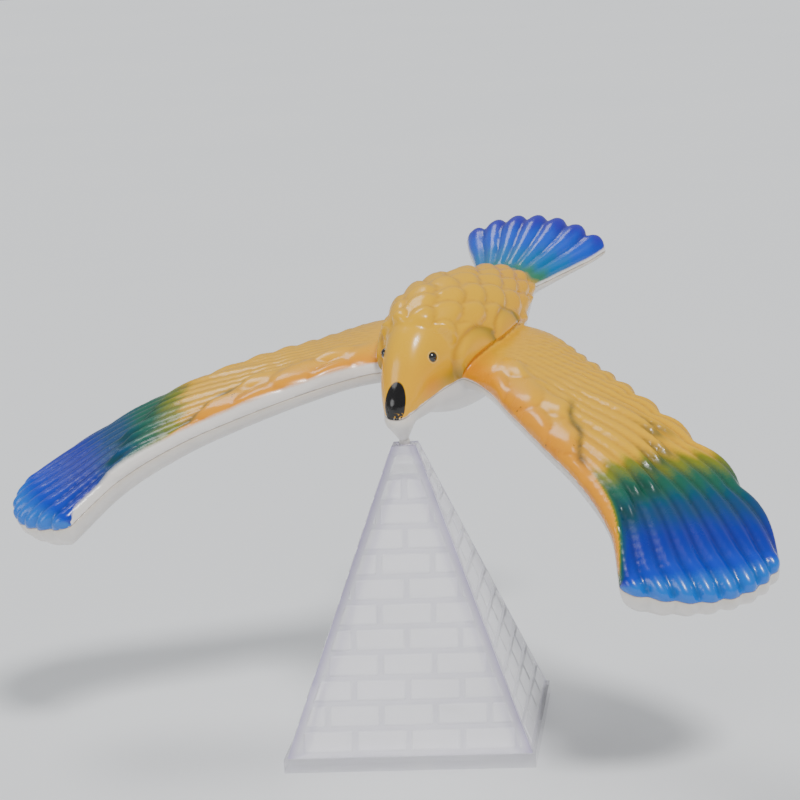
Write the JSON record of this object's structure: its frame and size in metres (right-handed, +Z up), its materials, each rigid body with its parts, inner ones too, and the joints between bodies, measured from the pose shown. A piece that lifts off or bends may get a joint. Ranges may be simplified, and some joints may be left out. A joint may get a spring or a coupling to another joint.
{
  "type": "balancing bird toy",
  "caption": "Hollow painted bird with weighted wing tips that balances by its beak peg on the top of a clear brick-pattern pyramid stand.",
  "frame": {"origin": "centre of the underside of the stand's base", "axes": "+Z up; X and Y along the sides of the square base, the bird heading about 19 degrees off -Y"},
  "size_m": [0.1717, 0.1332, 0.1038],
  "materials": {
    "clear_stand": "clear polystyrene, moulded brick relief, slightly lavender at the edges",
    "clear_base": "clear polystyrene, polished",
    "clear_cup": "clear polystyrene",
    "peg_white": "unpainted white plastic, rounded and polished by use",
    "white_shell": "unpainted warm white plastic with a little overspray",
    "painted_shell": "glossy sprayed paint, golden yellow fading through teal to deep blue at wing tips and tail",
    "steel_left": "plain steel",
    "steel_right": "plain steel",
    "eye_left_black": "glossy black dome",
    "eye_right_black": "glossy black dome"
  },
  "bodies": {
    "stand": {"pyramid_shell": "clear_stand", "base_plate": "clear_base"},
    "cup": {"pivot_cup": "clear_cup"},
    "ball": {"peg_ball": "peg_white"},
    "bird": {"lower_shell": "white_shell", "upper_shell": "painted_shell", "wing_weight_left": "steel_left", "wing_weight_right": "steel_right", "eye_left": "eye_left_black", "eye_right": "eye_right_black"}
  },
  "joints": [
    {"name": "bird_spin", "type": "hinge", "parent": "stand", "child": "cup", "pos_m": [0, 0, 0.06595], "axis": [0, 0, 1], "continuous": true},
    {"name": "bird_nod", "type": "hinge", "parent": "cup", "child": "ball", "pos_m": [0, 0, 0.06595], "axis": [0.9455, -0.3256, 0], "range_deg": [-15, 15]},
    {"name": "bird_bank", "type": "hinge", "parent": "ball", "child": "bird", "pos_m": [0, 0, 0.06595], "axis": [0.3256, 0.9455, 0], "range_deg": [-15, 15]}
  ]
}
